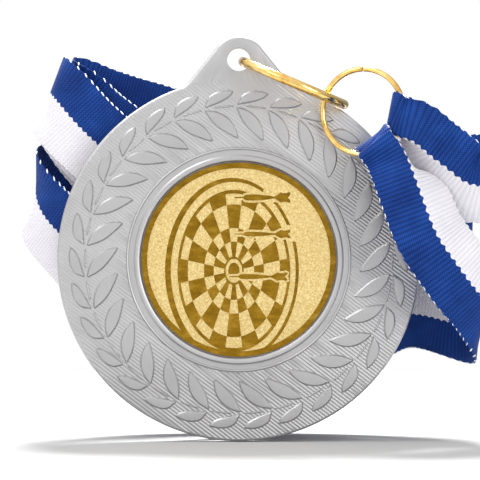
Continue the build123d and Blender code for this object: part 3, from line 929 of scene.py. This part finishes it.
UPPER_END = [
    (26.0, 10.8, -0.4, 0.1, 0.0, 1.0, 0),
    (28.4, 8.2, -0.8, 0.0, 0.0, 1.0, 0),
    (26.6, 6.2, 0.6, 0.05, 0.0, 1.0, 0),
    (19.0, 5.3, 3.4, 0.15, 0.0, 0.99, 0),
    (9.0, 5.2, 5.0, 0.35, 0.0, 0.94, 0),
    (-1.0, 5.1, 8.2, 0.5, 0.0, 0.87, 0),
    (-11.0, 5.0, 12.8, 0.58, 0.0, 0.81, 0),
    (-18.6, 5.1, 17.7, 0.6, 0.0, 0.8, 0),
    (-22.2, 6.1, 21.0, 0.34, 0.0, 0.94, 0),
    (-23.2, 8.2, 23.0, 0.08, 0.0, 1.0, 0),
    (-20.9, 9.8, 22.3, 0.18, 0.0, 0.98, 0),
    (-12.0, 10.4, 19.4, 0.3, 0.0, 0.95, 0),
    (0.0, 10.6, 15.2, 0.3, 0.0, 0.95, 0),
    (13.0, 10.2, 11.6, 0.24, 0.0, 0.97, 0),
    (25.0, 8.8, 11.0, 0.03, 0.0, 1.0, 0),
    (32.2, 5.8, 12.0, 0.0, 0.0, 1.0, 0),
    (35.6, 1.4, 11.6, 0.12, 0.0, 0.99, 0),
    (34.6, -3.8, 10.4, 0.34, 0.0, 0.94, 0),
    (31.2, -5.9, 10.5, 0.5, 0.05, 0.86, 22),
    (28.9, -6.5, 12.1, 0.56, 0.05, 0.83, 32),
    (25.9, -6.8, 14.4, 0.6, 0.05, 0.8, 52),
    (22.9, -8.6, 16.4, 0.52, 0.05, 0.85, 95),
    (20.8, -8.2, 17.0, 0.28, -0.1, 0.95, 174),
    (20.1, -7.1, 17.5, 0.2, 0.08, 0.98, 176),
    (21.2, -6.0, 16.9, 0.3, -0.02, 0.95, 176),
    (22.8, -5.9, 16.3, 0.38, 0.0, 0.92, 176),
    (24.1, -6.8, 15.7, 0.5, 0.05, 0.86, 176),
]


def coil_turn(index):
    """Stations of one turn of the coil, from the right round the near run to the far run."""
    near = NEAR_LAYER + LAYER_PITCH * index
    far = FAR_LAYER - LAYER_PITCH * index
    middle, half = (near + far) / 2, (far - near) / 2
    right, left = 32.7 - RIGHT_INSET * index, LEFT_INSET * index - 26.2
    drop, left_drop = RUN_DROP * index, LEFT_DROP * index
    sag = half / (FAR_LAYER - NEAR_LAYER) * 2
    top, lean = 23.3 - BEND_DROP * index, 0.34 - LEAN_LOSS * index
    return [
        (right - 3.4, middle + 0.88 * half, 0.3 * index - 1.0, 0.05, 0, 1, 0),
        (right, middle + 0.15 * half, -0.6, 0, 0, 1, 0),
        (right - 0.9, middle - 0.55 * half, 0.2, 0, 0, 1, 0),
        (25.5, near + 0.9, 2.6, 0, 0, 1, 0),
        (17.0, near + 0.3, 3.4, 0, 0, 1, 0),
        (7.0, near, 2.6 - drop, 0.12, 0, 0.99, 0),
        (-2.5, near, 4.0 - drop, 0.42, 0, 0.9, 0),
        (-11.0, near, 8.7 - drop, 0.6, 0, 0.8, 0),
        (0.4 * index - 17.5, near, 14.2 - drop - left_drop, 0.66, 0, 0.75, 0),
        (0.7 * index - 22.5, near + 0.45, 18.8 - drop - left_drop, 0.62, 0, 0.78, 0),
        (left + 0.3, middle - 0.6 * half, top - 0.5 * sag, lean + 0.05, 0, 0.93, 0),
        (left, middle + 0.1 * half, top, lean, 0, 0.94, 0),
        (left + 2.3, middle + 0.68 * half, top - 1.2 * sag, 0.26, 0, 0.96, 0),
        (-16.5, far - 0.2, top - 5.9, 0.38, 0, 0.92, 0),
        (-4.0, far, 11.6, 0.4, 0, 0.92, 0),
        (9.0, far, 6.0, 0.33, 0, 0.94, 0),
        (20.0, far - 0.2, 1.4, 0.2, 0, 0.98, 0),
    ]


class Route:
    """The ribbon's smooth route through its stations."""

    def __init__(self, stations):
        stations = np.array(stations, float)
        self.centres, blue = stations[:, :3], stations[:, 3:6]
        self.blue = blue / np.linalg.norm(blue, axis=1)[:, None]
        self.folds = np.radians(stations[:, 6])
        steps = np.linalg.norm(np.diff(self.centres, axis=0), axis=1)
        self.knots = np.concatenate([[0.0], np.cumsum(steps)])

    def smooth(self, values, at):
        """Natural cubic spline through values at the knots, read at the given places."""
        knots = self.knots
        count, gaps = len(knots), np.diff(knots)
        matrix, right = np.zeros((count, count)), np.zeros((count, values.shape[1]))
        matrix[0, 0] = matrix[-1, -1] = 1.0
        for i in range(1, count - 1):
            matrix[i, i - 1:i + 2] = gaps[i - 1], 2 * (gaps[i - 1] + gaps[i]), gaps[i]
            after, before = values[i + 1] - values[i], values[i] - values[i - 1]
            right[i] = 6 * (after / gaps[i] - before / gaps[i - 1])
        bend = np.linalg.solve(matrix, right)
        i = np.clip(np.searchsorted(knots, at, side="right") - 1, 0, count - 2)
        gap = gaps[i][:, None]
        a = (knots[i + 1] - at)[:, None] / gap
        b = 1.0 - a
        cubic = ((a**3 - a) * bend[i] + (b**3 - b) * bend[i + 1]) * gap**2 / 6
        return a * values[i] + b * values[i + 1] + cubic

    def frames(self, at):
        """Middle, blue direction, direction behind the blue side and fold at the given places."""
        middle = self.smooth(self.centres, at)
        ahead = self.smooth(self.centres, at + 0.01) - self.smooth(self.centres, at - 0.01)
        ahead /= np.linalg.norm(ahead, axis=1)[:, None]
        blue = self.smooth(self.blue, at)
        blue -= np.sum(blue * ahead, axis=1)[:, None] * ahead
        blue /= np.linalg.norm(blue, axis=1)[:, None]
        fold = np.interp(at, self.knots, self.folds)
        return middle, blue, np.cross(ahead, blue), fold


def cross_section(across, middle, blue, behind, fold):
    """Places and face directions across the ribbon, which may be folded along its middle."""
    half = FOLD_WIDTH / 2
    place = np.empty((len(middle), len(across), 3))
    face = np.empty_like(place)
    for k, w in enumerate(across):
        bent = np.clip((half - w) / FOLD_WIDTH, 0.0, 1.0)
        angle = (fold * bent)[:, None]
        flat_part = max(w - half, 0.0)
        tail = max(-w - half, 0.0)
        turned = min(max(half - w, 0.0), FOLD_WIDTH)
        rate = np.where(fold > 1e-4, fold, 1e-4)[:, None] / FOLD_WIDTH
        arc_in = np.sin(rate * turned) / rate
        arc_up = (1.0 - np.cos(rate * turned)) / rate
        start = middle + blue * (half + flat_part)
        white = -blue * np.cos(angle) + behind * np.sin(angle)
        place[:, k] = start - blue * arc_in + behind * arc_up + white * tail
        face[:, k] = blue * np.sin(angle) + behind * np.cos(angle)
    return place, face


def rib_rows(leg_start, leg_end, length):
    """Places along the ribbon for its rows of points, and the number of ribs up to each."""
    rows, ribs, reached = [], [], 0.0
    stretches = ((0.0, leg_start, LEG_RIB, LEG_ROWS), (leg_start, leg_end, COIL_RIB, COIL_ROWS),
                 (leg_end, length, LEG_RIB, LEG_ROWS))
    for first, last, pitch, split in stretches:
        count = round((last - first) / pitch) * split
        rows.append(np.linspace(first, last, count, endpoint=False))
        ribs.append(reached + np.arange(count) / split)
        reached += count / split
    return np.concatenate(rows), np.concatenate(ribs)


def ribbon(cloth, thread):
    """The whole ribbon as one closed strip with cross ribs, and the stitches of its blue edge."""
    stations = LOWER_END + [s for index in range(COIL_TURNS) for s in coil_turn(index)] + UPPER_END
    route = Route(stations)
    length = route.knots[-1]
    leg_start, leg_end = (route.knots[i] for i in LEG_STATIONS)
    rows, ribs = rib_rows(leg_start, leg_end, length)
    frames = route.frames(rows)
    across = np.array(COLUMNS)
    place, face = cross_section(across, *frames)
    coarse = (rows < leg_start) | (rows >= leg_end)
    rib = 2.0 * np.abs(np.cos(math.pi * ribs)) - 1.0
    wave = np.cos(math.pi * ribs)
    swell = np.where(coarse, LEG_SWELL, COIL_SWELL) * rib
    swing = np.where(coarse, LEG_SCALLOP, COIL_SCALLOP) * wave
    for edge, inner in ((-1, -2), (0, 1)):
        outwards = (place[:, edge] - place[:, inner]) / abs(across[edge] - across[inner])
        place[:, edge] += outwards * swing[:, None]
    inside = np.abs(across) < RIBBON_WIDTH / 2
    thick = np.where(inside, RIBBON_THICKNESS / 2, RIBBON_THICKNESS / 6)
    lift = (thick + swell[:, None] * inside)[:, :, None]
    front, back = place - face * lift, place + face * lift
    count, columns = len(rows), len(across)
    points = np.concatenate([front.reshape(-1, 3), back.reshape(-1, 3)])
    below = count * columns
    faces = []
    for i in range(count - 1):
        for j in range(columns - 1):
            a, b = i * columns + j, (i + 1) * columns + j
            faces.append((a, a + 1, b + 1, b))
            faces.append((below + a, below + b, below + b + 1, below + a + 1))
        for j in (0, columns - 1):
            a, b = i * columns + j, (i + 1) * columns + j
            faces.append((a, b, below + b, below + a))
    for i in (0, count - 1):
        for j in range(columns - 1):
            a = i * columns + j
            faces.append((a, a + 1, below + a + 1, below + a))
    attributes = {"across": np.tile(across, 2 * count)}
    for label, values in (("along", rows), ("rib", rib), ("wave", wave)):
        attributes[label] = np.tile(np.repeat(values, columns), 2)
    piece = mesh_piece("ribbon_strip", points, faces, [cloth], sharp=60.0, attributes=attributes)
    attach(piece, "ribbon")
    nodes = frame["record"]["behaviour"]["bodies"]["ribbon"]
    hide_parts(*[name for name in nodes if "thread" not in name])
    stitches = selvedge(route, leg_start, leg_end, length, thread)


def add_stitch(points, faces, centre, along, side, up, width):
    """Adds one short stitch, thick in the middle, to the points and faces."""
    faces += rod_faces(len(points), STITCH_RINGS, STITCH_SPOKES)
    for i in range(STITCH_RINGS):
        t = -1.0 + 2.0 * i / (STITCH_RINGS - 1)
        girth = max(1.0 - t * t, 0.04) ** 0.5 * width / 2
        for j in range(STITCH_SPOKES):
            angle = 2 * math.pi * j / STITCH_SPOKES
            points.append(centre + along * t * STITCH_LENGTH / 2
                          + side * girth * math.cos(angle) + up * girth * math.sin(angle))


def selvedge(route, leg_start, leg_end, length, thread):
    """White stitches over the blue edge, pulled in tight on the legs."""
    at = np.arange(STITCH_PITCH / 2, length - STITCH_PITCH / 2, STITCH_PITCH)
    frames = route.frames(at)
    edge, face = cross_section([RIBBON_WIDTH / 2 - STITCH_INSET], *frames)
    ahead = np.cross(frames[1], frames[2])
    widths = np.where((at < leg_start) | (at > leg_end), *STITCH_WIDTHS)
    points, faces = [], []
    for centre, up, blue, forward, width in zip(edge[:, 0], face[:, 0], frames[1], ahead, widths):
        slant = forward * math.cos(STITCH_SLANT) + blue * math.sin(STITCH_SLANT)
        add_stitch(points, faces, centre, slant, np.cross(up, slant), up, width)
    piece = mesh_piece("ribbon_selvedge", points, faces, [thread], sharp=80.0)
    face_out(piece)
    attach(piece, "ribbon")
    return piece


# === the scene ===
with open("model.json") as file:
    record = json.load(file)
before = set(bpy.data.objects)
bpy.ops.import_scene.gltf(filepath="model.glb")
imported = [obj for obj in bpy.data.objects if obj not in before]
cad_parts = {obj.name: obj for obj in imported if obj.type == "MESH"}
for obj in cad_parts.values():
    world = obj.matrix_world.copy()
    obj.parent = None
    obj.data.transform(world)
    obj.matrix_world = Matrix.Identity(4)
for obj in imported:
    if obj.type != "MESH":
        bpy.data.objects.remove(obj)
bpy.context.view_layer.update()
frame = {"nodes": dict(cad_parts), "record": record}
camera()
studio()

medal_disc(satin_silver())
gold_centre(polished_gold_dark_reflection(), frosted_gold())
jump_rings(gilt_wire())
ribbon(ribbon_cloth(), white_thread())
thread = blue_thread()
for name, material in (("hem_thread_lower", thread), ("hem_thread_upper", thread),
                       ("emblem_pad", foam_tape())):
    slots = frame["nodes"][name].data.materials
    slots.clear()
    slots.append(material)
